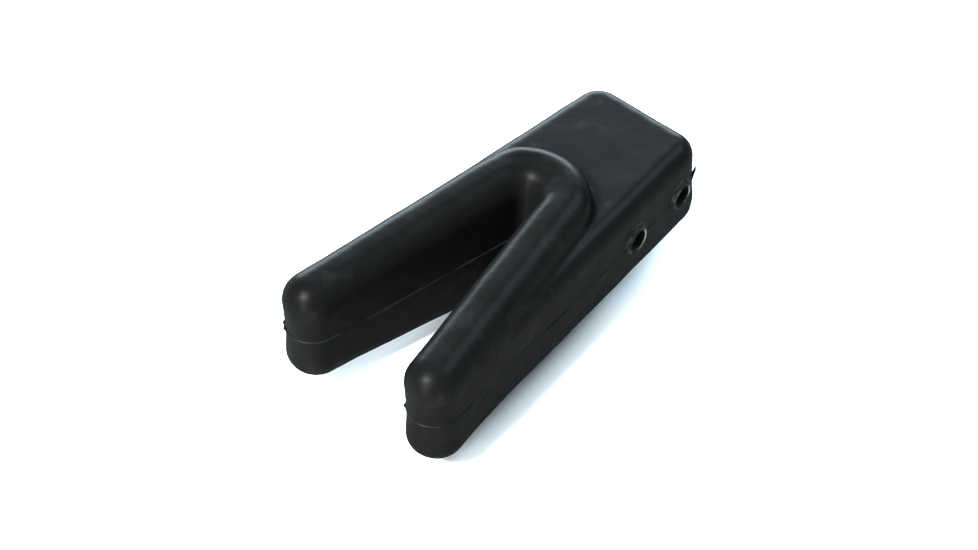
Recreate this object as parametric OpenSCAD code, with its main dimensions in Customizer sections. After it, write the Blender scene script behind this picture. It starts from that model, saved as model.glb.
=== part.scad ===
/* Rubber-covered V fork on a rectangular tail, for a cleat's horn.
   Frame: the origin is midway between the two cross bores, on the mould's
   parting plane. +X runs from the tail to the open mouth of the V, +Z is up.
   Everything is symmetric about the planes Y = 0 and Z = 0. */

/* [Tail block] */
// Distance from the rear cross bore to the tail's end face
tail_margin = 12.5; // [11:0.5:20]
// Width of the tail at its end face
tail_w = 47.8; // [44:0.2:54]
// Angle by which each side leans outwards towards the tips
side_splay = 5.75; // [5:0.05:6]
// Thickness of the tail block
tail_t = 35.6; // [30:0.2:40]
// Thickness of the side web where it meets the tips
web_t = 34.4; // [28:0.2:35]
// Corner radius of the tail, seen from above
corner_r = 8.8; // [6:0.2:12]
// Radius on the upper and lower edges of the tail
edge_r = 7; // [4:0.2:8]

/* [Fork] */
// Distance from the front cross bore to the centre of the fork's bend
bend_reach = 27.5; // [25:0.5:32]
// Radius of the bend, to the middle of the arm
bend_r = 14.1; // [12:0.1:16]
// Angle of each arm from the centre line
arm_splay = 10.1; // [9.5:0.1:10.3]
// Length of each arm, from the bend to the centre of its tip
arm_l = 77; // [60:0.5:90]
// Width of each arm
arm_w = 19.2; // [18:0.2:22]
// Height of the fork at its bend
bend_h = 54.2; // [48:0.2:60]
// Height of each arm at its tip
tip_h = 41.4; // [36:0.2:46]
// Radius on the upper and lower edges of the arms
arm_edge_r = 8.8; // [5:0.2:9]
// Angle by which the upright walls lean inwards from the parting plane
draft = 0.6; // [0:0.1:1]

/* [Parting line] */
// How far the moulding flash stands out of the side
flash_w = 0.4; // [0.2:0.1:0.8]
// Thickness of the flash
flash_t = 0.8; // [0.4:0.1:1.2]
// Length of the loose sliver of flash at the tail's corner
tab_l = 5.5; // [3:0.5:10]
// Width of the loose sliver
tab_w = 3; // [2:0.5:5]
// Angle by which the sliver leans out from the wall
tab_lean = 10; // [5:1:20]

/* [Cross bores] */
// Distance between the two cross bores
bore_pitch = 27; // [26:0.5:32]
// Bore of each sleeve, for an M8 bolt
bore_d = 8.4; // [6.5:0.1:8.6]
// Outside diameter of each sleeve
sleeve_d = 10; // [9.6:0.1:11]
// Diameter of the raised lip round each hole
lip_d = 11.6; // [11.4:0.1:13]
// How far the lip stands out of the side
lip_proud = 0.8; // [0.5:0.1:1.5]
// How far each end of a sleeve lies below the lip
sleeve_recess = 0.5; // [0.3:0.1:1]

/* [Steel frame] */
// Thickness of the steel flat bar
bar_t = 8; // [6:0.5:9]
// Height of the bent bar in the arms
fork_bar_h = 26; // [20:1:30]
// Height of the straight bar in the tail
tail_bar_h = 24; // [20:1:26]
// Rubber over the tail end of the straight bar
end_cover = 6; // [4:0.5:8]

/* [Hidden] */
$fn = 32;
EPS = 0.01;
BIG = 400;
// Direction in which the tail's corner is met by the sliver
tab_angle = 132;
// Insets that keep joined shapes from sharing a face
web_inset = 0.3;
root_inset = 0.12;
ROUND_STEPS = 7;
OUTLINE_STEPS = 16;

front_x = bore_pitch / 2;
rear_x = -bore_pitch / 2;
tail_x = rear_x - tail_margin;
bend_x = front_x + bend_reach;
arm_r = arm_w / 2;
tip_c = [bend_x - bend_r * sin(arm_splay) + arm_l * cos(arm_splay),
         bend_r * cos(arm_splay) + arm_l * sin(arm_splay)];
crotch_r = bend_r - arm_r;
corner_c = [tail_x + corner_r, side_y(tail_x + corner_r) - corner_r / cos(side_splay)];
tail_bar_x = tail_x + end_cover;

rubber = [0.11, 0.115, 0.12];
steel = [0.45, 0.46, 0.48];

// Half the width of the side face at the parting plane, at a station x
function side_y(x) = tail_w / 2 + (x - tail_x) * tan(side_splay);

// Points of an arc about c from angle a0 to a1
function arc(c, r, a0, a1, n = OUTLINE_STEPS) =
    [for (i = [0:n]) let (a = a0 + (a1 - a0) * i / n) c + r * [cos(a), sin(a)]];

// Parting-plane outline, grown by g: tail corner, tip, crotch, tip, tail corner
function seam_outline(g) = concat(
    arc([corner_c[0], -corner_c[1]], corner_r + g, 180, 270 + side_splay),
    arc([tip_c[0], -tip_c[1]], arm_r + g, 270 - side_splay, 450 - arm_splay),
    arc([bend_x, 0], crotch_r - g, 270 - arm_splay, 90 + arm_splay),
    arc(tip_c, arm_r + g, 270 + arm_splay - 360, 90 + side_splay),
    arc(corner_c, corner_r + g, 90 + side_splay, 180));

// Half section of an upright with a rounded top: foot radius r, height h
function post_section(r, h, edge) =
    let (top_r = r - (h - edge) * tan(draft))
    concat([[0, 0], [r, 0]],
           [for (i = [0:ROUND_STEPS]) let (a = 90 * i / ROUND_STEPS)
               [top_r - edge + edge * cos(a), h - edge + edge * sin(a)]],
           [[0, h]]);

module post(c, r, h, edge) {
    translate([c[0], c[1], 0])
        rotate_extrude()
            polygon(post_section(r, h, edge));
}

// One side of the web: tail corner, centre line and tip
module web_side(side) {
    hull() {
        post([corner_c[0], side * corner_c[1]], corner_r, tail_t / 2, edge_r);
        post([corner_c[0], 0], corner_r, tail_t / 2, edge_r);
        post([bend_x - bend_r, 0], corner_r, tail_t / 2, edge_r);
        post([tip_c[0], side * tip_c[1]], arm_r - web_inset, web_t / 2, edge_r);
    }
}

// One arm, from inside the bend to its rounded tip
module arm(side) {
    root_c = [bend_x - bend_r * sin(arm_splay), side * bend_r * cos(arm_splay)];
    hull() {
        post(root_c, arm_r - root_inset, bend_h / 2 - root_inset, arm_edge_r - root_inset);
        post([tip_c[0], side * tip_c[1]], arm_r, tip_h / 2, arm_edge_r);
    }
}

// Bend of the fork, with the arm's own section swept round
module bend() {
    half = [for (p = post_section(arm_r, bend_h / 2, arm_edge_r)) if (p[0] > 0) p];
    section = concat([for (p = half) [bend_r + p[0], p[1]]],
                     [for (i = [len(half) - 1:-1:0]) [bend_r - half[i][0], half[i][1]]]);
    translate([bend_x, 0, 0])
        rotate([0, 0, 90 + arm_splay])
            rotate_extrude(angle = 180 - 2 * arm_splay, $fn = 96)
                polygon(section);
}

// Open space between the arms
module mouth() {
    reach = tip_c[0] + 2 * arm_r - bend_x;
    far_y = crotch_r / cos(arm_splay) + reach * tan(arm_splay);
    near = crotch_r * [-sin(arm_splay), cos(arm_splay)];
    translate([bend_x, 0, -EPS]) {
        cylinder(r = crotch_r, h = bend_h);
        linear_extrude(bend_h)
            polygon([near, [reach, far_y], [reach, -far_y], [near[0], -near[1]]]);
    }
}

// Raised lip round the two ends of a cross bore
module lip(x) {
    half_l = side_y(x) + lip_proud;
    translate([x, 0, 0])
        rotate([90, 0, 0])
            cylinder(d = lip_d, h = 2 * half_l, center = true);
}

// Loose sliver of flash, peeled up from the parting line at the tail's corner
module flash_tab() {
    translate([corner_c[0], corner_c[1], 0])
        rotate([0, 0, tab_angle])
            translate([corner_r, -tab_w / 2, 0])
                rotate([0, tab_lean, 0])
                    cube([flash_t / 2, tab_w, tab_l]);
}

module half_skin() {
    difference() {
        union() {
            for (side = [-1, 1]) {
                web_side(side);
                arm(side);
            }
            bend();
        }
        mouth();
    }
    linear_extrude(flash_t / 2)
        polygon(seam_outline(flash_w));
    lip(front_x);
    lip(rear_x);
}

module rubber_half() {
    difference() {
        half_skin();
        translate([0, 0, -BIG / 2])
            cube(BIG, center = true);
        fork_bar_solid();
        tail_bar_blank();
        sleeve_blank(front_x, BIG);
        sleeve_blank(rear_x, BIG);
    }
}

// Flat bar bent on edge into a V
module fork_bar_solid() {
    half_t = bar_t / 2;
    translate([bend_x, 0, 0]) {
        rotate([0, 0, 90 + arm_splay])
            rotate_extrude(angle = 180 - 2 * arm_splay)
                translate([bend_r - half_t, -fork_bar_h / 2])
                    square([bar_t, fork_bar_h]);
        for (side = [-1, 1])
            on_side(side)
                rotate([0, 0, arm_splay])
                    translate([0, bend_r - half_t, -fork_bar_h / 2])
                        cube([arm_l, bar_t, fork_bar_h]);
    }
}

// Children as drawn, or mirrored to the other side
module on_side(side) {
    if (side > 0)
        children();
    else
        mirror([0, 1, 0])
            children();
}

// Straight bar in the tail, undrilled and run on into the bent bar
module tail_bar_blank() {
    bar_l = bend_x - bend_r - tail_bar_x;
    translate([tail_bar_x, -bar_t / 2, -tail_bar_h / 2])
        cube([bar_l, bar_t, tail_bar_h]);
}

module sleeve_blank(x, l) {
    translate([x, 0, 0])
        rotate([90, 0, 0])
            cylinder(d = sleeve_d, h = l, center = true);
}

module sleeve(x) {
    l = 2 * (side_y(x) + lip_proud - sleeve_recess);
    color(steel)
        difference() {
            sleeve_blank(x, l);
            translate([x, 0, 0])
                rotate([90, 0, 0])
                    cylinder(d = bore_d, h = l + 2, center = true);
        }
}

module upper_half() {
    color(rubber) {
        rubber_half();
        flash_tab();
    }
}

module lower_half() {
    color(rubber)
        mirror([0, 0, 1])
            rubber_half();
}

module fork_bar() {
    color(steel)
        fork_bar_solid();
}

module tail_bar() {
    color(steel)
        difference() {
            tail_bar_blank();
            translate([bend_x, 0, 0])
                cylinder(r = bend_r + bar_t / 2, h = BIG, center = true);
            sleeve_blank(front_x, BIG);
            sleeve_blank(rear_x, BIG);
        }
}

upper_half();
lower_half();
fork_bar();
tail_bar();
sleeve(front_x);  // front_sleeve
sleeve(rear_x);  // rear_sleeve
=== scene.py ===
import math

import bmesh
import bpy
import numpy as np
from mathutils import Matrix, Vector


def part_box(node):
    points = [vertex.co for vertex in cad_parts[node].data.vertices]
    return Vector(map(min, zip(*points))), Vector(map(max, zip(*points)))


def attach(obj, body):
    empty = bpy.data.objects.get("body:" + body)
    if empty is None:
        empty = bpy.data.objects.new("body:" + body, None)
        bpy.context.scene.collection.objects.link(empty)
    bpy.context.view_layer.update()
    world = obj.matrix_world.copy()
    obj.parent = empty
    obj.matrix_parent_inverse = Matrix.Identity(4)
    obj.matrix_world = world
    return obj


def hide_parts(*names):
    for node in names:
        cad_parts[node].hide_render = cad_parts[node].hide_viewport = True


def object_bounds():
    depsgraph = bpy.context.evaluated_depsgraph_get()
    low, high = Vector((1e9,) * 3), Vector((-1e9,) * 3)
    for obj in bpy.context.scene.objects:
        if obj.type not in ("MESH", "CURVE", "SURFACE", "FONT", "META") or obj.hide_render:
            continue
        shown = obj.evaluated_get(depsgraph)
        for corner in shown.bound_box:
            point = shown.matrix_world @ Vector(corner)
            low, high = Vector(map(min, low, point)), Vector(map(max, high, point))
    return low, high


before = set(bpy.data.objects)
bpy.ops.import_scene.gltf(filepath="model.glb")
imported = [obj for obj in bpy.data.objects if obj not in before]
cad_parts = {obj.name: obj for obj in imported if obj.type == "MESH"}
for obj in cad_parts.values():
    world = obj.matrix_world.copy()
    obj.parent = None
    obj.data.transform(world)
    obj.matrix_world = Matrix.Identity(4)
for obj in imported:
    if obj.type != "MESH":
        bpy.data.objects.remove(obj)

CAD_LOW, CAD_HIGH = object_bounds()

# ------------------------------------------------------------ sizes, in millimetres
MM = 0.001
FLASH_W = 0.4
TAIL_W = 47.8
SIDE_SPLAY = math.radians(5.75)
TAIL_T = 35.6
WEB_T = 34.4
CORNER_R = 8.8
EDGE_R = 7.0
BEND_R = 14.1
ARM_SPLAY = math.radians(10.1)
ARM_L = 77.0
ARM_R = 9.6
BEND_H = 54.2
TIP_H = 41.4
ARM_EDGE_R = 8.8
DRAFT = math.tan(math.radians(0.6))
BORE_R = 4.2
SLEEVE_R = 5.0
SLEEVE_CHAMFER = 0.25
# Radius of the rubber's own mouth, just inside the sleeve's bore
MOUTH_R = 4.08
# Larger than the part, for cutters that run right through it
FAR = 300
# Edges sharper than this stay sharp when shaded
SHARP_ANGLE = math.radians(35)
# Spacing of the grid that the skin is meshed from
GRID_STEP = 0.5

# ------------------------------------------------------------ unevenness of the moulding, mm
# Offset of the lower half from the upper half, along X and Y
MISMATCH = (0.02, 0.14)
# Rise of the upper head towards the back of the bend
HEAD_RISE = 0.75
# How much tighter the head's edge gets there, above and below
HEAD_EDGE_TIGHTER = 1.3
# Where that starts and ends: run along the arm, and distance inwards from its middle
BACK_RUN = (-1, -12)
BACK_INWARD = (2, -3)
# Gap left below the CAD's top, to make up for the waviness
TOP_SLACK = 0.05
# Extra depth of each tip below the parting line
TIP_DEEPER = 0.4
# Run along the arm over which it becomes a tip
TIP_RUN = (ARM_L - 12, ARM_L + 2)
# Each tip bulges at one height (size, height, spread) and narrows at the parting line (size, spread)
TIP_BULGE = 0.35
TIP_BULGE_Z = 13
TIP_BULGE_SPREAD = 5
TIP_WAIST = 0.3
TIP_WAIST_SPREAD = 6
# How far the side web stays inside the arms' outline at the tips' ends, towards the tips and in the V
WEB_END_INSET = 1.0
WEB_SIDE_INSET = 0.3
WEB_INNER_INSET = 1.5
# How much tighter the web's edges are than the CAD's, above and below the parting line
WEB_EDGE_TIGHTER = 0.3
WEB_LOWER_EDGE_TIGHTER = 0.8
# Fillet between fork and web: width low down, how much it grows, and between which heights
FILLET = 0.3
FILLET_GROWTH = 1.7
FILLET_RANGE = (8, 16)
# The tail bulges below the parting line: from one station to another, overall, and more at one depth
TAIL_BULGE_X = (-14, -23)
TAIL_BULGE_RANGE = (0, 14)
TAIL_BULGE = 0.15
TAIL_BULGE_PEAK = 0.65
TAIL_BULGE_DEPTH = 7.5
TAIL_BULGE_SPREAD = 4.5
# Swollen rubber round each cross hole: height, radius, spread, and how far out of the middle it starts
MOUND = 0.35
MOUND_R = 5.4
MOUND_SPREAD = 1.6
MOUND_Y = (12, 18)

# ------------------------------------------------------------ places, from the frame
half_low, half_high = (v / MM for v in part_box("lower_half"))
TAIL_X = half_low.x + FLASH_W
TIP_X = half_high.x - FLASH_W - ARM_R
BEND_X = TIP_X - ARM_L * math.cos(ARM_SPLAY) + BEND_R * math.sin(ARM_SPLAY)
CROTCH_R = BEND_R - ARM_R
BEND = np.array([BEND_X, 0.0])
ROOT = BEND + BEND_R * np.array([-math.sin(ARM_SPLAY), math.cos(ARM_SPLAY)])
ALONG = np.array([math.cos(ARM_SPLAY), math.sin(ARM_SPLAY)])
TIP = ROOT + ARM_L * ALONG
CORNER = np.array([TAIL_X + CORNER_R,
                   TAIL_W / 2 + CORNER_R * math.tan(SIDE_SPLAY) - CORNER_R / math.cos(SIDE_SPLAY)])
_run = TIP - CORNER
SIDE_ANGLE = math.atan2(_run[1], _run[0]) + math.asin((ARM_R - CORNER_R) / np.hypot(*_run))
SIDE_FOOT = CORNER + CORNER_R * np.array([-math.sin(SIDE_ANGLE), math.cos(SIDE_ANGLE)])


def sleeve_place(node):
    """Where a sleeve's axis crosses the centre line, and half its length."""
    low, high = (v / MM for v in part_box(node))
    return (low.x + high.x) / 2, high.y


SLEEVES = {node: sleeve_place(node) for node in ("front_sleeve", "rear_sleeve")}


def side_y(x):
    """Half the width of the side face at the parting plane."""
    return SIDE_FOOT[1] + (x - SIDE_FOOT[0]) * math.tan(SIDE_ANGLE)


# ------------------------------------------------------------ the rubber's shape, as a distance field
def rounded_max(a, b, radius):
    """Intersection of two half spaces with a rounded edge between them."""
    a, b = a + radius, b + radius
    return np.hypot(np.maximum(a, 0), np.maximum(b, 0)) + np.minimum(np.maximum(a, b), 0) - radius


def smooth_min(a, b, width):
    """Union of two shapes with a fillet between them."""
    mix = np.clip(0.5 + 0.5 * (b - a) / width, 0, 1)
    return b + (a - b) * mix - width * mix * (1 - mix)


def smooth_step(low, high, value):
    """Eases from 0 at low to 1 at high."""
    t = np.clip((value - low) / (high - low), 0, 1)
    return t * t * (3 - 2 * t)


def rod_plan(x, y):
    """Distance from the fork's centre line in plan, the run along the arm, and the distance inwards."""
    along = (x - ROOT[0]) * ALONG[0] + (y - ROOT[1]) * ALONG[1]
    across = (y - ROOT[1]) * ALONG[0] - (x - ROOT[0]) * ALONG[1]
    arm = np.hypot(along - np.clip(along, 0, ARM_L), across)
    radial = np.hypot(x - BEND_X, y) - BEND_R
    in_bend = along < 0
    distance = np.where(in_bend, np.abs(radial), arm)
    outwards = np.where(in_bend, radial > 0, across > 0)
    return distance, along, np.where(outwards, -distance, distance)


def waviness(x, y, z):
    """Slow unevenness of the moulded skin: three crossed ripples, from long to short."""
    return (0.05 * np.sin(0.21 * x + 0.13 * z + 1.0) * np.sin(0.19 * y - 0.17 * z)
            + 0.035 * np.sin(0.43 * x - 0.31 * y + 0.7) * np.sin(0.37 * z + 0.29 * y + 2.1)
            + 0.02 * np.sin(0.93 * x + 0.71 * y) * np.sin(0.83 * z - 0.57 * x + 0.4))


def bell(value, centre, spread):
    """1 at the centre, falling off to both sides."""
    return np.exp(-((value - centre) / spread) ** 2)


def fork_field(x, y, z, below):
    """The V alone: a rounded bar swept round the bend and along both arms, dropping towards the tips."""
    distance, along, inward = rod_plan(x, y)
    # Run along the arm, easing in from 0 at the bend
    run = (along + np.hypot(along, 3.0)) / 2
    near_tip = smooth_step(*TIP_RUN, along)
    near_back = smooth_step(*BACK_RUN, along) * smooth_step(*BACK_INWARD, inward)
    top = BEND_H / 2 - TOP_SLACK - (BEND_H - TIP_H) / 2 / ARM_L * run
    top = top + np.where(below, TIP_DEEPER, 0) * near_tip
    top = top + np.where(below, 0, HEAD_RISE) * near_back
    bulge = TIP_BULGE * bell(z, TIP_BULGE_Z, TIP_BULGE_SPREAD) - TIP_WAIST * bell(z, 0, TIP_WAIST_SPREAD)
    wall = distance - ARM_R + z * DRAFT - bulge * near_tip
    return rounded_max(wall, z - top, ARM_EDGE_R - HEAD_EDGE_TIGHTER * near_back)


def web_field(x, y, z, below):
    """The tail block and the side webs that run from it to the tips, open in the V."""
    inward = rod_plan(x, y)[2]
    side = (y - side_y(x)) * math.cos(SIDE_ANGLE)
    front = x - TIP_X - ARM_R + WEB_END_INSET
    plan = np.maximum(rounded_max(side, TAIL_X - x, CORNER_R), rounded_max(side, front, ARM_R))
    plan = plan + WEB_SIDE_INSET * smooth_step(BEND_X, TIP_X, x)
    plan = np.maximum(plan, inward - ARM_R + WEB_INNER_INSET)
    top = TAIL_T / 2 + (WEB_T - TAIL_T) / 2 * (x - TAIL_X) / (TIP_X - TAIL_X)
    edge = np.where(below, EDGE_R - WEB_LOWER_EDGE_TIGHTER, EDGE_R - WEB_EDGE_TIGHTER)
    return rounded_max(plan + z * DRAFT, z - top, edge)


def skin(p):
    """Distance from the outside of the rubber: negative inside."""
    x, y, z = p[..., 0], np.abs(p[..., 1]), np.abs(p[..., 2])
    below = p[..., 2] < 0
    fillet = FILLET + FILLET_GROWTH * smooth_step(*FILLET_RANGE, z)
    body = smooth_min(fork_field(x, y, z, below), web_field(x, y, z, below), fillet)
    depth = -p[..., 2]
    bulge = TAIL_BULGE * smooth_step(*TAIL_BULGE_RANGE, depth)
    bulge = bulge + TAIL_BULGE_PEAK * bell(depth, TAIL_BULGE_DEPTH, TAIL_BULGE_SPREAD)
    body = body - bulge * smooth_step(*TAIL_BULGE_X, x)
    for centre, _ in SLEEVES.values():
        off = np.hypot(x - centre, p[..., 2])
        body = body - MOUND * bell(off, MOUND_R, MOUND_SPREAD) * smooth_step(*MOUND_Y, y)
    return body + waviness(p[..., 0], p[..., 1], p[..., 2])


def surface_net(field, low, step):
    """Quads over the zero level of a sampled field, with one vertex in each cell that it crosses."""
    inside = field < 0
    cells = tuple(n - 1 for n in field.shape)
    corners = [np.array([i, j, k]) for i in (0, 1) for j in (0, 1) for k in (0, 1)]
    count = np.zeros(cells, np.int8)
    for c in corners:
        count += inside[c[0]:c[0] + cells[0], c[1]:c[1] + cells[1], c[2]:c[2] + cells[2]]
    active = np.argwhere((count > 0) & (count < 8))
    index = np.full(cells, -1, np.int64)
    index[tuple(active.T)] = np.arange(len(active))
    total = np.zeros((len(active), 3))
    hits = np.zeros(len(active))
    for a in corners:
        for axis in range(3):
            if a[axis]:
                continue
            b = a.copy()
            b[axis] = 1
            fa, fb = field[tuple((active + a).T)], field[tuple((active + b).T)]
            crossed = (fa < 0) != (fb < 0)
            t = np.where(crossed, fa / np.where(crossed, fa - fb, 1), 0)
            total += crossed[:, None] * (a + t[:, None] * (b - a))
            hits += crossed
    points = low + step * (active + total / hits[:, None])
    quads = []
    for axis in range(3):
        u, v = np.eye(3, dtype=int)[(axis + 1) % 3], np.eye(3, dtype=int)[(axis + 2) % 3]
        here = np.moveaxis(inside, axis, 0)
        change = np.moveaxis(np.concatenate([here[:-1] != here[1:], np.zeros_like(here[:1])]), 0, axis)
        at = np.argwhere(change)
        ring = np.stack([index[tuple((at - u - v).T)], index[tuple((at - v).T)],
                         index[tuple(at.T)], index[tuple((at - u).T)]], 1)
        leaving = inside[tuple(at.T)]
        quads.append(np.where(leaving[:, None], ring, ring[:, ::-1]))
    return points, np.concatenate(quads)


def gradient(p, reach=0.02):
    """Outward direction of the field at each point."""
    out = np.empty_like(p)
    for axis in range(3):
        step = np.zeros(3)
        step[axis] = reach
        out[:, axis] = skin(p + step) - skin(p - step)
    return out / (2 * reach)


def onto_skin(points, flat=False):
    """Moves points onto the skin's surface, in their own level if flat."""
    for _ in range(4):
        g = gradient(points)
        if flat:
            g[:, 2] = 0
        points = points - g * (skin(points) / np.maximum((g * g).sum(1), 0.2))[:, None]
    return points


def skin_mesh():
    """The whole rubber skin as points and quads."""
    margin = 2.3 * GRID_STEP
    low = np.array([half_low.x, half_low.y, -BEND_H / 2]) - margin
    high = np.array([half_high.x, half_high.y, BEND_H / 2 + HEAD_RISE]) + margin
    axes = [np.arange(a, b, GRID_STEP) for a, b in zip(low, high)]
    field = np.concatenate([skin(np.stack(np.meshgrid(part, axes[1], axes[2], indexing="ij"), -1))
                            for part in np.array_split(axes[0], 12)])
    points, quads = surface_net(field, low, GRID_STEP)
    return onto_skin(points), quads


# ------------------------------------------------------------ mesh helpers
def mesh_object(name, points, faces):
    """A linked mesh object from points in millimetres."""
    mesh = bpy.data.meshes.new(name)
    mesh.from_pydata((np.asarray(points) * MM).tolist(), [], np.asarray(faces).tolist()
                     if isinstance(faces, np.ndarray) else faces)
    mesh.update()
    made = bpy.data.objects.new(name, mesh)
    bpy.context.scene.collection.objects.link(made)
    return made


def swept_faces(rings, size, closed=True):
    """Quads between rings of equal size, with capped ends if the sweep is open."""
    faces = []
    for i in range(rings if closed else rings - 1):
        a, b = i * size, (i + 1) % rings * size
        for j in range(size):
            k = (j + 1) % size
            faces.append((a + j, a + k, b + k, b + j))
    if not closed:
        faces.append(tuple(range(size))[::-1])
        faces.append(tuple((rings - 1) * size + j for j in range(size)))
    return faces


def turn_outwards(piece):
    """Makes every face of a closed mesh point outwards."""
    work = bmesh.new()
    work.from_mesh(piece.data)
    bmesh.ops.recalc_face_normals(work, faces=work.faces)
    work.to_mesh(piece.data)
    work.free()


def combine(piece, other, operation):
    """Applies a boolean with another closed object, which is then removed."""
    modifier = piece.modifiers.new("combine", "BOOLEAN")
    modifier.operation = operation
    modifier.object = other
    modifier.solver = "MANIFOLD"
    graph = bpy.context.evaluated_depsgraph_get()
    mesh = bpy.data.meshes.new_from_object(piece.evaluated_get(graph))
    piece.modifiers.clear()
    old, piece.data = piece.data, mesh
    bpy.data.meshes.remove(old)
    bpy.data.objects.remove(other)


def block(low, high):
    """A plain block used only as a cutter."""
    spans = list(zip(low, high))
    points = [(x, y, z) for x in spans[0] for y in spans[1] for z in spans[2]]
    faces = [(0, 1, 3, 2), (4, 6, 7, 5), (0, 4, 5, 1), (2, 3, 7, 6), (0, 2, 6, 4), (1, 5, 7, 3)]
    return mesh_object("cutter", points, faces)


def across_cylinder(x, radius, half_length, sides=72):
    """A cylinder across the part, used only as a cutter."""
    turn = np.arange(sides) * 2 * math.pi / sides
    ring = np.stack([x + radius * np.cos(turn), np.zeros(sides), radius * np.sin(turn)], 1)
    ends = [ring + [0, side * half_length, 0] for side in (-1, 1)]
    made = mesh_object("cutter", np.concatenate(ends), swept_faces(2, sides, closed=False))
    turn_outwards(made)
    return made


def welded_copy(node):
    """A closed copy of a CAD node, used only as a cutter."""
    made = bpy.data.objects.new("cutter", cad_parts[node].data.copy())
    bpy.context.scene.collection.objects.link(made)
    work = bmesh.new()
    work.from_mesh(made.data)
    bmesh.ops.remove_doubles(work, verts=work.verts, dist=1e-6)
    work.to_mesh(made.data)
    work.free()
    return made


def finish_piece(piece, node):
    """Smooth shading, body, and hiding the CAD node that the piece stands in for."""
    mesh = piece.data
    mesh.polygons.foreach_set("use_smooth", [True] * len(mesh.polygons))
    mesh.set_sharp_from_angle(angle=SHARP_ANGLE)
    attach(piece, "root")
    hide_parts(node)


# ------------------------------------------------------------ flash along the parting line
def arc(centre, radius, start, end, count=60):
    """Points of an arc in plan, between two angles."""
    turn = np.linspace(start, end, count)
    return np.asarray(centre) + radius * np.stack([np.cos(turn), np.sin(turn)], 1)


def parting_outline(spacing=0.45):
    """Evenly spaced points round the parting line, anticlockwise from above."""
    quarter = math.pi / 2
    upper_side = np.concatenate([
        [[TAIL_X, 0]],
        arc(CORNER, CORNER_R, 2 * quarter, quarter + SIDE_ANGLE),
        arc(TIP, ARM_R, quarter + SIDE_ANGLE, ARM_SPLAY - quarter),
        arc(BEND, CROTCH_R, quarter + ARM_SPLAY, 2 * quarter, 24),
    ])
    loop = np.concatenate([upper_side, upper_side[::-1] * [1, -1], upper_side[:1]])[::-1]
    length = np.concatenate([[0], np.cumsum(np.hypot(*np.diff(loop, axis=0).T))])
    count = int(length[-1] / spacing)
    at = np.arange(count) * length[-1] / count
    flat = np.stack([np.interp(at, length, loop[:, i]) for i in (0, 1)], 1)
    return np.concatenate([flat, np.zeros((count, 1))], 1), at


def ripple(s, seed, period):
    """Irregular smooth variation between about -1 and 1 along a length, with waves up to one period."""
    rng = np.random.default_rng(seed)
    total = np.zeros_like(s)
    for part in range(5):
        wave = 2 * math.pi * (part + 1) / period * rng.uniform(0.8, 1.25)
        total += np.sin(wave * s + rng.uniform(0, 6.28)) / (part + 1) ** 0.5
    return total / 3


# Height of the ridge and half its thickness, with the size of their slow and quick variation
RIDGE_RISE = 0.25
RIDGE_RISE_SLOW = 0.06
RIDGE_RISE_QUICK = 0.05
RIDGE_RISE_RANGE = (0.14, 0.36)
RIDGE_HALF = 0.3
RIDGE_HALF_SLOW = 0.05
# How deep the ridge's foot lies in the rubber
RIDGE_FOOT = 0.6
# Length over which the variation dies out before the sweep meets its own start
RIDGE_CLOSE = 20
# The ridge fades on the tail, between these two stations
RIDGE_FADE_X = (32, 8)
RIDGE_FADE_RISE = 0.5
RIDGE_FADE_HALF = 0.4
# Section of the ridge, from inside to inside: distance out and height, as shares of their sizes
RIDGE_SECTION = [(-0.9, 1.15), (0, 0.9), (0.5, 0.68), (0.8, 0.42), (0.97, 0.12), (1, -0.2),
                 (0.85, -0.55), (0.45, -0.85), (0, -1.0), (-0.9, -1.15)]
# Nubs of thicker flash: side of the part and angle round the tip, then their size
NUB_PLACES = [(-1, math.radians(-50)), (-1, math.radians(-33)), (1, math.radians(-49))]
NUB_RISE = 0.6
NUB_HALF = 0.3
NUB_SPREAD = 0.9
NUB_INSET = 0.2


def nub_amount(foot):
    """How much of a nub stands at each point of the parting line, from 0 to about 1."""
    total = 0
    for side, turn in NUB_PLACES:
        at = TIP * [1, side] + (ARM_R - NUB_INSET) * np.array([math.cos(turn), math.sin(turn)])
        total = total + bell(np.hypot(foot[:, 0] - at[0], foot[:, 1] - at[1]), 0, NUB_SPREAD)
    return total


def flash_ring():
    """Thin ragged ridge of flash all round the parting line, as one closed sweep."""
    outline, s = parting_outline()
    foot = onto_skin(outline, flat=True)
    outward = gradient(foot)
    outward[:, 2] = 0
    outward /= np.linalg.norm(outward, axis=1)[:, None]
    window = np.minimum(1, (s[-1] - s) / RIDGE_CLOSE)
    nub = nub_amount(foot)
    faint = smooth_step(*RIDGE_FADE_X, foot[:, 0])
    rise = RIDGE_RISE + RIDGE_RISE_SLOW * ripple(s, seed=3, period=46) * window
    rise = rise + RIDGE_RISE_QUICK * ripple(s, seed=5, period=9) * window
    rise = np.clip(rise, *RIDGE_RISE_RANGE) * (1 - RIDGE_FADE_RISE * faint) + NUB_RISE * nub
    half = RIDGE_HALF + RIDGE_HALF_SLOW * ripple(s, seed=8, period=17) * window
    half = half * (1 - RIDGE_FADE_HALF * faint) + NUB_HALF * nub
    rings = []
    for out, up in RIDGE_SECTION:
        reach = out * RIDGE_FOOT if out < 0 else out * rise
        rings.append(foot + outward * np.broadcast_to(reach, s.shape)[:, None]
                     + np.stack([0 * s, 0 * s, up * half], 1))
    points = np.stack(rings, 1).reshape(-1, 3)
    made = mesh_object("flash", points, swept_faces(len(s), len(RIDGE_SECTION)))
    turn_outwards(made)
    return made


SLIVER_TURN = math.radians(132)
SLIVER_LENGTH = 5.2
SLIVER_WIDTH = 3.0
# Half the sliver's thickness at its foot, and how much it thins towards its end
SLIVER_HALF = 0.17
SLIVER_THINS = 0.1
# How far it starts inside the wall, leans out over its length, drifts sideways and curls at its sides
SLIVER_ROOT = 0.15
SLIVER_LEAN = 1.1
SLIVER_DRIFT = 0.35
SLIVER_CURL = 0.9


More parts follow.
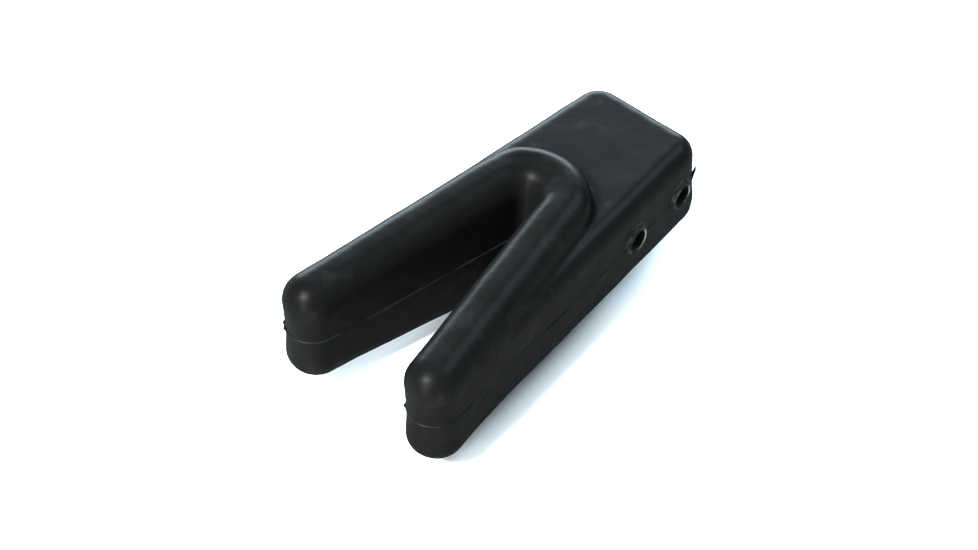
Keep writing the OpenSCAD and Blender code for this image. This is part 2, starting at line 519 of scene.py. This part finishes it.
def flash_sliver(rows=10, columns=9):
    """Loose sliver of flash, peeled up and out at the tail's corner."""
    outward = np.array([math.cos(SLIVER_TURN), math.sin(SLIVER_TURN), 0])
    tangent = np.array([-math.sin(SLIVER_TURN), math.cos(SLIVER_TURN), 0])
    foot = np.array([CORNER[0], CORNER[1], 0]) + outward * CORNER_R
    points = []
    for i in range(rows):
        h = i / (rows - 1)
        width = SLIVER_WIDTH * (1 - 0.55 * h)
        lean = -SLIVER_ROOT + SLIVER_LEAN * h
        for side in (1, -1):
            thick = side * (SLIVER_HALF - SLIVER_THINS * h)
            for j in range(columns):
                across = (j / (columns - 1) - 0.5) * side
                ragged = 1 - 0.35 * h * abs(across) * 2 - 0.12 * h * math.sin(9 * across + 2)
                curl = -SLIVER_CURL * across * across * (1 - 0.5 * h)
                points.append(foot + tangent * (across * width + SLIVER_DRIFT * h)
                              + outward * (lean + thick + curl)
                              + np.array([0, 0, 0.1 + SLIVER_LENGTH * h * ragged]))
    made = mesh_object("sliver", points, swept_faces(rows, 2 * columns, closed=False))
    turn_outwards(made)
    return made


# ------------------------------------------------------------ lips round the cross bores
# Section of a lip: distance from the bore's axis, and height above the side face
LIP_SECTION = [(3.8, -2.0), (7.0, -2.0), (6.5, -0.1), (6.1, 0.14), (5.75, 0.5), (5.45, 0.9),
               (5.1, 1.15), (4.75, 1.2), (4.45, 1.05), (4.22, 0.7), (4.1, 0.3), (4.06, -0.5),
               (3.8, -1.2)]
# Direction in which each lip is highest and widest, from +X towards +Z
LIP_HIGH_SIDE = math.radians(50)
# Share of the section's height: the mean, how much it leans, and its raggedness
LIP_RISE = 0.85
LIP_RISE_LEAN = 0.3
LIP_RISE_RAGGED = 0.14
# The same for the outer radius, and the radius beyond which it varies
LIP_SPREAD_LEAN = 0.03
LIP_SPREAD_RAGGED = 0.02
LIP_SPREAD_FROM = 4.5
LIP_WAVE = 1.57


def lip_ring(x, side, seed, sides=96):
    """Moulded lip round one mouth of a cross bore, following the side face's slope."""
    turn = np.arange(sides) * 2 * math.pi / sides
    lean = np.cos(turn - LIP_HIGH_SIDE)
    rise = LIP_RISE + LIP_RISE_LEAN * lean + LIP_RISE_RAGGED * ripple(turn, seed, LIP_WAVE)
    spread = 1 + LIP_SPREAD_LEAN * lean + LIP_SPREAD_RAGGED * ripple(turn, seed + 50, LIP_WAVE)
    rings = []
    for r, h in LIP_SECTION:
        radius = r * np.where(r > LIP_SPREAD_FROM, spread, 1)
        px = x + radius * np.cos(turn)
        pz = radius * np.sin(turn)
        face = side_y(px) - np.abs(pz) * DRAFT
        height = h * (rise if h > 0 else 1)
        rings.append(np.stack([px, side * (face + height), pz], 1))
    points = np.stack(rings, 1).reshape(-1, 3)
    made = mesh_object("lip", points, swept_faces(sides, len(LIP_SECTION)))
    turn_outwards(made)
    return made


# ------------------------------------------------------------ the two rubber halves
def rubber_half(name, points, quads, upper):
    """One half of the rubber: skin, flash and lips, cut at the parting plane and hollowed."""
    if not upper:
        points = points + [*MISMATCH, 0]
    piece = mesh_object(name + "_rubber", points, quads)
    combine(piece, flash_ring(), "UNION")
    if upper:
        combine(piece, flash_sliver(), "UNION")
    for seed, (x, _) in enumerate(SLEEVES.values()):
        for side in (-1, 1):
            combine(piece, lip_ring(x, side, 20 + 2 * seed + side), "UNION")
    if upper:
        combine(piece, block((-FAR, -FAR, 0), (FAR, FAR, FAR)), "INTERSECT")
    else:
        combine(piece, block((-FAR, -FAR, -FAR), (FAR, FAR, 0)), "INTERSECT")
    for x, half_length in SLEEVES.values():
        combine(piece, across_cylinder(x, SLEEVE_R, half_length), "DIFFERENCE")
        combine(piece, across_cylinder(x, MOUTH_R, FAR), "DIFFERENCE")
    for node in ("fork_bar", "tail_bar"):
        combine(piece, welded_copy(node), "DIFFERENCE")
    finish_piece(piece, name)
    return piece


# ------------------------------------------------------------ sleeves
def sleeve(node, x, half_length, sides=96):
    """A cross sleeve turned from tube, with chamfered ends."""
    inner, outer = BORE_R + SLEEVE_CHAMFER, SLEEVE_R - SLEEVE_CHAMFER
    shoulder = half_length - SLEEVE_CHAMFER
    profile = [(BORE_R, -shoulder), (inner, -half_length), (outer, -half_length), (SLEEVE_R, -shoulder),
               (SLEEVE_R, shoulder), (outer, half_length), (inner, half_length), (BORE_R, shoulder)]
    turn = np.arange(sides) * 2 * math.pi / sides
    rings = [np.stack([x + r * np.cos(turn), np.full(sides, y), r * np.sin(turn)], 1)
             for r, y in profile]
    points = np.stack(rings, 1).reshape(-1, 3)
    piece = mesh_object(node + "_tube", points, swept_faces(sides, len(profile)))
    turn_outwards(piece)
    finish_piece(piece, node)
    return piece


# ------------------------------------------------------------ materials
def new_material(name):
    """A material with its nodes, links, main shader and object coordinates."""
    made = bpy.data.materials.new(name)
    made.use_nodes = True
    nodes, links = made.node_tree.nodes, made.node_tree.links
    shader = next(n for n in nodes if n.type == "BSDF_PRINCIPLED")
    place = nodes.new("ShaderNodeTexCoord").outputs["Object"]
    return made, nodes, links, shader, place


def noise(nodes, links, place, scale, detail):
    """Noise in object space, with features about 1/scale metres across."""
    made = nodes.new("ShaderNodeTexNoise")
    made.inputs["Scale"].default_value = scale
    made.inputs["Detail"].default_value = detail
    links.new(place, made.inputs["Vector"])
    return made.outputs["Fac"]


def ramp(nodes, links, source, stops):
    """Colour ramp from (position, grey or colour) stops."""
    made = nodes.new("ShaderNodeValToRGB")
    band = made.color_ramp
    while len(band.elements) < len(stops):
        band.elements.new(0.5)
    for element, (position, value) in zip(band.elements, stops):
        colour = (value,) * 3 if isinstance(value, (int, float)) else value
        element.position = position
        element.color = (*colour, 1)
    links.new(source, made.inputs["Fac"])
    return made.outputs["Color"]


def patchy(nodes, links, place, scale, detail, stops):
    """Blotches: noise put through a colour ramp."""
    return ramp(nodes, links, noise(nodes, links, place, scale, detail), stops)


def mix(nodes, links, factor, a, b):
    """Mix of two colours, each a socket or a plain colour."""
    made = nodes.new("ShaderNodeMix")
    made.data_type = "RGBA"
    for name, value in (("Factor", factor), ("A", a), ("B", b)):
        kind = "VALUE" if name == "Factor" else "RGBA"
        target = next(s for s in made.inputs if s.name == name and s.type == kind)
        if isinstance(value, bpy.types.NodeSocket):
            links.new(value, target)
        else:
            target.default_value = (*value, 1)
    return next(s for s in made.outputs if s.type == "RGBA")


def bump(nodes, links, height, distance, strength, under=None):
    """Relief from a height, over an earlier relief if one is given."""
    made = nodes.new("ShaderNodeBump")
    made.inputs["Strength"].default_value = strength
    made.inputs["Distance"].default_value = distance
    links.new(height, made.inputs["Height"])
    if under:
        links.new(under, made.inputs["Normal"])
    return made.outputs["Normal"]


def fading_highlight_spots(nodes, links, reach, near, far, spots):
    """Spots of painted highlight that fade out between two distances, in millimetres."""
    fade = nodes.new("ShaderNodeMapRange")
    fade.interpolation_type = "SMOOTHSTEP"
    fade.inputs["From Min"].default_value = far * MM
    fade.inputs["From Max"].default_value = near * MM
    fade.inputs["To Min"].default_value = 0
    fade.inputs["To Max"].default_value = 1
    links.new(reach, fade.inputs["Value"])
    painted_highlight = nodes.new("ShaderNodeMath")
    painted_highlight.operation = "MULTIPLY"
    links.new(fade.outputs["Result"], painted_highlight.inputs[0])
    links.new(spots, painted_highlight.inputs[1])
    return painted_highlight.outputs["Value"]


def reach_in_space(nodes, links, place, scale, centre):
    """Distance from a point in millimetres, with some axes left out by a scale of 0."""
    kept = nodes.new("ShaderNodeMapping")
    kept.inputs["Scale"].default_value = scale
    links.new(place, kept.inputs["Vector"])
    reach = nodes.new("ShaderNodeVectorMath")
    reach.operation = "DISTANCE"
    links.new(kept.outputs["Vector"], reach.inputs[0])
    reach.inputs[1].default_value = [v * MM for v in centre]
    return reach.outputs["Value"]


RUBBER_DARK = (0.0076, 0.0081, 0.0079)
RUBBER_LIGHT = (0.0100, 0.0106, 0.0106)
RUBBER_SCUFFED = (0.018, 0.0185, 0.0188)
SCUFF_ROUGHNESS = (0.44, 0.44, 0.44)
# Painted highlight on the upper side of each lip, broken into spots like wear: colour, shift of its
# centre from the bore's axis along X and Z, and its reach in millimetres
LIP_PAINTED_HIGHLIGHT = (0.055, 0.056, 0.055)
LIP_HIGHLIGHT_SHIFT = (0.5, 1.4)
LIP_HIGHLIGHT_REACH = (5.1, 6.4)
# Painted highlight along the parting line, in patches like scuffed flash: colour and reach in
# millimetres
SEAM_PAINTED_HIGHLIGHT = (0.028, 0.029, 0.029)
SEAM_HIGHLIGHT_REACH = (0.2, 0.42)
# The thin coat that gives the rubber its sheen
SHEEN = 0.11
SHEEN_ROUGHNESS = 0.37


def rubber_material():
    """Black satin moulded rubber with faint mottling, scuffs, painted highlights on the lips and along
    the parting line, and a fine moulded grain.
    """
    made, nodes, links, shader, place = new_material("black_rubber")
    mottle = patchy(nodes, links, place, scale=90, detail=5, stops=[(0.35, 0.0), (0.7, 1.0)])
    colour = mix(nodes, links, mottle, RUBBER_DARK, RUBBER_LIGHT)
    scuff = patchy(nodes, links, place, scale=110, detail=9, stops=[(0.58, 0.0), (0.8, 1.0)])
    colour = mix(nodes, links, scuff, colour, RUBBER_SCUFFED)
    spots = patchy(nodes, links, place, scale=700, detail=4, stops=[(0.42, 0.1), (0.62, 1.0)])
    # Painted highlight on the upper side of each lip, where its slope catches the light
    for x, _ in SLEEVES.values():
        centre = (x + LIP_HIGHLIGHT_SHIFT[0], 0, LIP_HIGHLIGHT_SHIFT[1])
        reach = reach_in_space(nodes, links, place, (1, 0, 1), centre)
        painted_highlight = fading_highlight_spots(nodes, links, reach, *LIP_HIGHLIGHT_REACH, spots)
        colour = mix(nodes, links, painted_highlight, colour, LIP_PAINTED_HIGHLIGHT)
    # Painted highlight along the parting line, lifting the flash ridge's shaded seam
    patches = patchy(nodes, links, place, scale=70, detail=3, stops=[(0.38, 0.0), (0.65, 1.0)])
    height = reach_in_space(nodes, links, place, (0, 0, 1), (0, 0, 0))
    painted_highlight = fading_highlight_spots(nodes, links, height, *SEAM_HIGHLIGHT_REACH, patches)
    colour = mix(nodes, links, painted_highlight, colour, SEAM_PAINTED_HIGHLIGHT)
    links.new(colour, shader.inputs["Base Color"])
    rough = patchy(nodes, links, place, scale=140, detail=6, stops=[(0.3, 0.30), (0.75, 0.38)])
    rough = mix(nodes, links, scuff, rough, SCUFF_ROUGHNESS)
    links.new(rough, shader.inputs["Roughness"])
    shader.inputs["Specular IOR Level"].default_value = 0.0
    shader.inputs["Coat Weight"].default_value = SHEEN
    shader.inputs["Coat Roughness"].default_value = SHEEN_ROUGHNESS
    fine = noise(nodes, links, place, scale=2600, detail=3)
    grain = bump(nodes, links, fine, distance=0.04 * MM, strength=0.35)
    coarse = noise(nodes, links, place, scale=420, detail=3)
    peel = bump(nodes, links, coarse, distance=0.1 * MM, strength=0.3, under=grain)
    links.new(peel, shader.inputs["Normal"])
    links.new(peel, shader.inputs["Coat Normal"])
    return made


# Steels: the metal, the stain on it, and the mean roughness
SLEEVE_STEEL = ((0.18, 0.18, 0.18), (0.09, 0.085, 0.08), 0.4)
BAR_STEEL = ((0.16, 0.165, 0.18), (0.09, 0.075, 0.065), 0.5)


def steel_material(name, base, stain, roughness):
    """Steel with mill scale or dark coating, and faint discolouration."""
    made, nodes, links, shader, place = new_material(name)
    patch = patchy(nodes, links, place, scale=130, detail=6, stops=[(0.35, 0.0), (0.7, 1.0)])
    links.new(mix(nodes, links, patch, base, stain), shader.inputs["Base Color"])
    stops = [(0.3, roughness - 0.08), (0.7, roughness + 0.1)]
    rough = patchy(nodes, links, place, scale=300, detail=5, stops=stops)
    links.new(rough, shader.inputs["Roughness"])
    shader.inputs["Metallic"].default_value = 0.85
    pits = noise(nodes, links, place, scale=900, detail=5)
    relief = bump(nodes, links, pits, distance=0.08 * MM, strength=0.4)
    links.new(relief, shader.inputs["Normal"])
    return made


def floor_material():
    """Plain pale floor without any shine."""
    made, _, _, shader, _ = new_material("pale_floor")
    shader.inputs["Base Color"].default_value = (*FLOOR_TONE, 1)
    shader.inputs["Roughness"].default_value = 0.9
    shader.inputs["Specular IOR Level"].default_value = 0.0
    return made


def dress(piece, material):
    """Gives a piece one material and no other."""
    piece.data.materials.clear()
    piece.data.materials.append(material)


# ------------------------------------------------------------ floor, light and camera
# Point that the camera looks at, from the middle of the part
AIM_OFFSET = Vector((10.24, 1.29, 0)) * MM
# Angles round from +X and above the horizon
VIEW_TURN = math.radians(42.06)
VIEW_RISE = math.radians(45.886)
VIEW_ROLL = math.radians(-0.188)
# In metres
VIEW_DISTANCE = 0.94134
# In millimetres, like the sensor's width
FOCAL_LENGTH = 103.07
SENSOR_WIDTH = 36
WHITE = (1.0, 1.0, 1.0)
COOL = (0.78, 0.92, 1.0)
# Suns: angle round from +X and angle above the horizon in degrees, spread in radians, strength, colour
SUNS = {
    "left_sun": (-8, 50, 0.28, 11.5, WHITE),
    "back_sun": (222, 44, 0.42, 1.4, COOL),
    "back_right_sun": (155, 50, 0.46, 3.2, COOL),
}
# Strips: the same two angles, width and height in metres, power in watts, colour
STRIPS = {
    "low_left_strip": (9, 20, (0.2, 0.8), 16, WHITE),
    "low_back_strip": (226, 9, (1.3, 0.5), 100, COOL),
}
STRIP_DISTANCE = 1.2
SKY_COLOUR = (0.86, 0.95, 1.0)
SKY_STRENGTH = 0.1
# Half the floor's width, in metres
FLOOR_REACH = 12
FLOOR_TONE = (0.735, 0.735, 0.735)
# Below 1, it deepens the dark tones
DISPLAY_GAMMA = 0.75


def direction(turn, rise):
    """Unit vector at an angle round from +X and an angle above the horizon, in radians."""
    return Vector((math.cos(turn) * math.cos(rise), math.sin(turn) * math.cos(rise), math.sin(rise)))


def add_camera(centre):
    """Camera at the photo's angle and distance."""
    data = bpy.data.cameras.new("camera")
    data.sensor_width = SENSOR_WIDTH
    data.lens = FOCAL_LENGTH
    data.clip_start = 0.05
    data.clip_end = 50
    camera = bpy.data.objects.new("camera", data)
    back = direction(VIEW_TURN, VIEW_RISE)
    right = Vector((0, 0, 1)).cross(back).normalized()
    turn = Matrix((right, back.cross(right), back)).transposed()
    camera.matrix_world = (Matrix.Translation(centre + AIM_OFFSET + back * VIEW_DISTANCE)
                           @ turn.to_4x4() @ Matrix.Rotation(VIEW_ROLL, 4, "Z"))
    bpy.context.scene.collection.objects.link(camera)
    bpy.context.scene.camera = camera


def add_light(name, kind, turn, rise, strength, colour):
    """A light that shines from a direction, and that direction."""
    data = bpy.data.lights.new(name, kind)
    data.energy = strength
    data.color = colour
    light = bpy.data.objects.new(name, data)
    back = direction(math.radians(turn), math.radians(rise))
    light.rotation_mode = "QUATERNION"
    light.rotation_quaternion = (-back).to_track_quat("-Z", "Y")
    bpy.context.scene.collection.objects.link(light)
    return light, back


def add_lights(centre):
    """Soft suns, which light the whole floor evenly, and two strips low down beside the part."""
    for name, (turn, rise, spread, strength, colour) in SUNS.items():
        light, _ = add_light(name, "SUN", turn, rise, strength, colour)
        light.data.angle = spread
    for name, (turn, rise, size, power, colour) in STRIPS.items():
        light, back = add_light(name, "AREA", turn, rise, power, colour)
        light.data.shape = "RECTANGLE"
        light.data.size = size[0]
        light.data.size_y = size[1]
        light.location = centre + back * STRIP_DISTANCE
        light.visible_camera = False


def add_floor(level):
    """Floor at the part's lowest point."""
    reach = FLOOR_REACH / MM
    corners = [(-reach, -reach, 0), (reach, -reach, 0), (reach, reach, 0), (-reach, reach, 0)]
    piece = mesh_object("floor", corners, [(0, 1, 2, 3)])
    piece.location.z = level
    dress(piece, floor_material())


def add_world():
    """Even, very weak light from all round."""
    world = bpy.data.worlds.new("studio")
    world.use_nodes = True
    sky = world.node_tree.nodes["Background"]
    sky.inputs["Color"].default_value = (*SKY_COLOUR, 1)
    sky.inputs["Strength"].default_value = SKY_STRENGTH
    bpy.context.scene.world = world


def main():
    centre = (CAD_LOW + CAD_HIGH) / 2
    centre.z = 0
    points, quads = skin_mesh()
    rubber = rubber_material()
    dress(rubber_half("upper_half", points, quads, True), rubber)
    dress(rubber_half("lower_half", points, quads, False), rubber)
    coated = steel_material("sleeve_steel", *SLEEVE_STEEL)
    for node, (x, half_length) in SLEEVES.items():
        dress(sleeve(node, x, half_length), coated)
    rolled = steel_material("rolled_steel", *BAR_STEEL)
    for node in ("fork_bar", "tail_bar"):
        dress(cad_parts[node], rolled)
    add_floor(CAD_LOW.z)
    add_world()
    add_camera(centre)
    add_lights(centre)
    bpy.context.scene.view_settings.view_transform = "Standard"
    bpy.context.scene.view_settings.gamma = DISPLAY_GAMMA


main()
